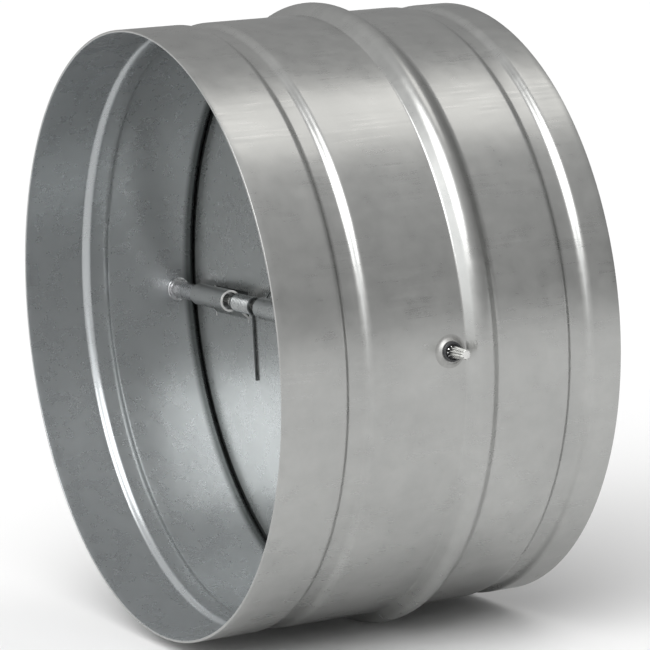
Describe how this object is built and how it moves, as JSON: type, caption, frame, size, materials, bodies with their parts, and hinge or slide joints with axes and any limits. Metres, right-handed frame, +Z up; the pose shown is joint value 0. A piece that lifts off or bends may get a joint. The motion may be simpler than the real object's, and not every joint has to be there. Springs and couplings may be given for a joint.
{
  "type": "backdraft damper",
  "caption": "Round in-line duct damper: sheet-metal tube with a bead and grooves, two half-disc blades on one spindle, folded open by air flow and closed by torsion springs.",
  "frame": {"origin": "on the duct axis, half way between the two rims; the centre of the bounding box", "axes": "+Y along the duct from the outlet rim to the inlet rim, against the air flow; +X along the spindle; +Z up"},
  "size_m": [0.219, 0.119, 0.2066],
  "materials": {
    "galvanised": "satin galvanised sheet",
    "blade_sheet": "mill finish sheet",
    "spindle_steel": "bright drawn rod",
    "zinc_steel": "zinc plated",
    "spring_steel": "dark drawn wire",
    "bush_plastic": "moulded",
    "seal_rubber": "matt black"
  },
  "bodies": {
    "root": {"casing": "galvanised", "seal_ring": "seal_rubber", "spindle": "spindle_steel", "bush_right": "bush_plastic", "bush_left": "bush_plastic", "washer_right": "zinc_steel", "washer_left": "zinc_steel", "sleeve_right": "zinc_steel", "sleeve_left": "zinc_steel", "sleeve_centre": "zinc_steel", "torsion_spring_left": "spring_steel", "torsion_spring_right": "spring_steel"},
    "upper_blade": {"upper_blade": "blade_sheet"},
    "lower_blade": {"lower_blade": "blade_sheet"}
  },
  "joints": [
    {"name": "upper_blade_hinge", "type": "hinge", "parent": "root", "child": "upper_blade", "pos_m": [0, -0.0016, 0], "axis": [1, 0, 0], "range_deg": [0, 85], "stiffness_Nm_per_rad": 0.04, "springref_deg": -28.65, "deforming": ["torsion_spring_left", "torsion_spring_right"]},
    {"name": "lower_blade_hinge", "type": "hinge", "parent": "root", "child": "lower_blade", "pos_m": [0, -0.0016, 0], "axis": [-1, 0, 0], "range_deg": [0, 85], "stiffness_Nm_per_rad": 0.04, "springref_deg": -28.65, "deforming": ["torsion_spring_left", "torsion_spring_right"]}
  ]
}
